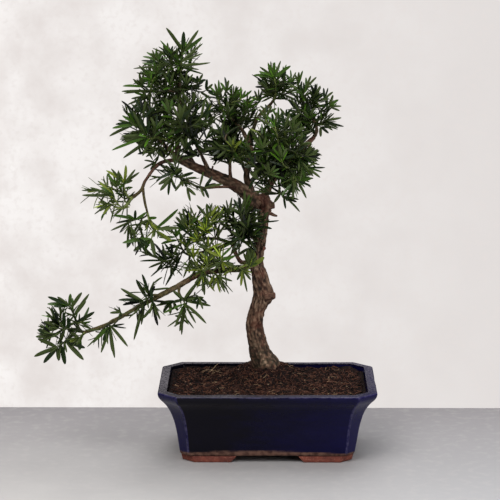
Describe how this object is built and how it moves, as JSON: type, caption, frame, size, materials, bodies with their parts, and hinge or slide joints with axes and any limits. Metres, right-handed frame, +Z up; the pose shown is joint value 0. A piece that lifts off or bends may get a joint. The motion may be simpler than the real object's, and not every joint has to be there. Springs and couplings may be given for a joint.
{
  "type": "podocarpus bonsai",
  "caption": "Potted podocarpus bonsai: slim leaning trunk, tiers of narrow dark green leaves and a long trailing branch to one side, in a rectangular blue glazed pot with cut corners.",
  "frame": {"origin": "middle of the bottom of the bounding box, in the plane that the pot's feet stand on", "axes": "+Z up; +X to the right and +Y to the back of the pot's long front side; the trailing branch runs towards -X"},
  "size_m": [0.441, 0.1928, 0.5535],
  "materials": {
    "glaze": "dark navy blue gloss glaze",
    "clay": "unglazed red clay",
    "soil": "coarse fibrous brown soil",
    "bark": "rough grey-brown bark",
    "leaf": "satin dark green leaves"
  },
  "bodies": {
    "root": {"pot": "glaze", "pot_foot_back_left": "clay", "pot_foot_back_right": "clay", "pot_foot_front_left": "clay", "pot_foot_front_right": "clay", "soil": "soil", "trunk": "bark", "apex_bough": "bark", "cascade_bough": "bark", "cascade_mid_bough": "bark", "cascade_near_bough": "bark", "cascade_outer_bough": "bark", "centre_low_bough": "bark", "left_back_bough": "bark", "left_bough": "bark", "left_inner_bough": "bark", "left_side_bough": "bark", "loop_bough": "bark", "middle_back_bough": "bark", "pad_left_bough": "bark", "pad_low_bough": "bark", "pendant_bough": "bark", "pendant_low_bough": "bark", "right_back_bough": "bark", "right_bough": "bark", "right_front_bough": "bark", "top_right_bough": "bark", "trunk_spray_bough": "bark", "under_bough": "bark", "upright_bough": "bark", "apex_foliage": "leaf", "cascade_mid_foliage": "leaf", "cascade_near_foliage": "leaf", "cascade_outer_foliage": "leaf", "cascade_tip_foliage": "leaf", "centre_low_foliage": "leaf", "centre_top_foliage": "leaf", "left_back_foliage": "leaf", "left_heart_foliage": "leaf", "left_shoulder_foliage": "leaf", "middle_back_foliage": "leaf", "pad_left_foliage": "leaf", "pad_low_foliage": "leaf", "pad_top_foliage": "leaf", "pendant_foliage": "leaf", "pendant_low_foliage": "leaf", "right_back_foliage": "leaf", "right_front_foliage": "leaf", "right_side_foliage": "leaf", "right_top_foliage": "leaf", "trunk_foliage": "leaf", "under_foliage": "leaf"}
  },
  "joints": []
}
